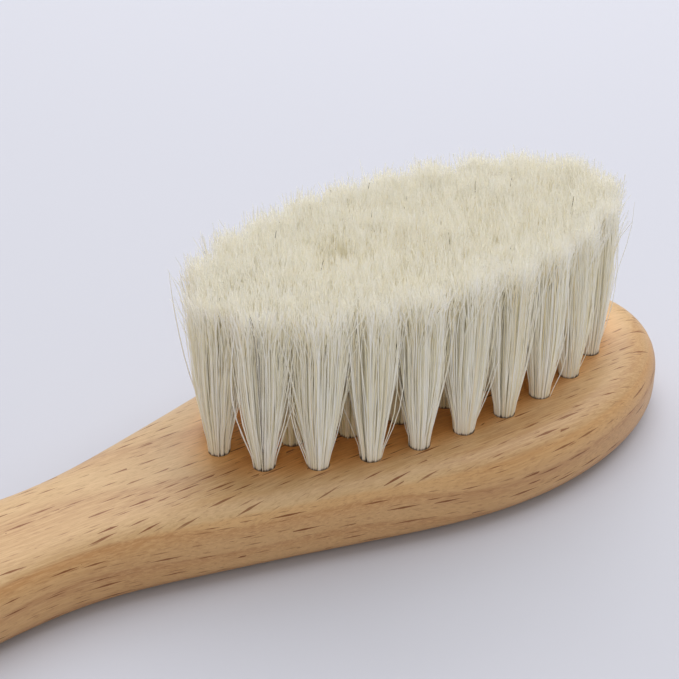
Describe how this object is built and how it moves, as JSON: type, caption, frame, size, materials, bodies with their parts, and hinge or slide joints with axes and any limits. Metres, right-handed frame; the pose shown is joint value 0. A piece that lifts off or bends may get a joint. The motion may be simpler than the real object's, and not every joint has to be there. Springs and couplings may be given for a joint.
{
  "type": "body dry brush",
  "caption": "One-piece beech hand brush: an oval head that narrows to a handle, set with flared goat-hair tufts, for brushing dry skin.",
  "frame": {"origin": "middle of the flat back face, on the plane it rests on", "axes": "+X along the brush from the handle to the head's far end, +Z out of the bristle side, +Y across the head"},
  "size_m": [0.18, 0.049, 0.0374],
  "materials": {
    "beech_wood": "smooth oiled beech with short dark ray flecks along the grain, satin",
    "goat_hair": "fine natural cream goat hair, soft and matt, with a few dark hairs",
    "anchor_wire": "flat drawn wire, hidden in the wood"
  },
  "bodies": {
    "root": {"beech_body": "beech_wood", "tuft_anchors": "anchor_wire", "tuft_centre_01": "goat_hair", "tuft_centre_02": "goat_hair", "tuft_centre_03": "goat_hair", "tuft_centre_04": "goat_hair", "tuft_centre_05": "goat_hair", "tuft_inner_01": "goat_hair", "tuft_inner_02": "goat_hair", "tuft_inner_03": "goat_hair", "tuft_inner_04": "goat_hair", "tuft_inner_05": "goat_hair", "tuft_inner_06": "goat_hair", "tuft_inner_07": "goat_hair", "tuft_inner_08": "goat_hair", "tuft_inner_09": "goat_hair", "tuft_inner_10": "goat_hair", "tuft_inner_11": "goat_hair", "tuft_inner_12": "goat_hair", "tuft_inner_13": "goat_hair", "tuft_inner_14": "goat_hair", "tuft_outer_01": "goat_hair", "tuft_outer_02": "goat_hair", "tuft_outer_03": "goat_hair", "tuft_outer_04": "goat_hair", "tuft_outer_05": "goat_hair", "tuft_outer_06": "goat_hair", "tuft_outer_07": "goat_hair", "tuft_outer_08": "goat_hair", "tuft_outer_09": "goat_hair", "tuft_outer_10": "goat_hair", "tuft_outer_11": "goat_hair", "tuft_outer_12": "goat_hair", "tuft_outer_13": "goat_hair", "tuft_outer_14": "goat_hair", "tuft_outer_15": "goat_hair", "tuft_outer_16": "goat_hair", "tuft_outer_17": "goat_hair", "tuft_outer_18": "goat_hair", "tuft_outer_19": "goat_hair", "tuft_outer_20": "goat_hair", "tuft_outer_21": "goat_hair"}
  },
  "joints": []
}
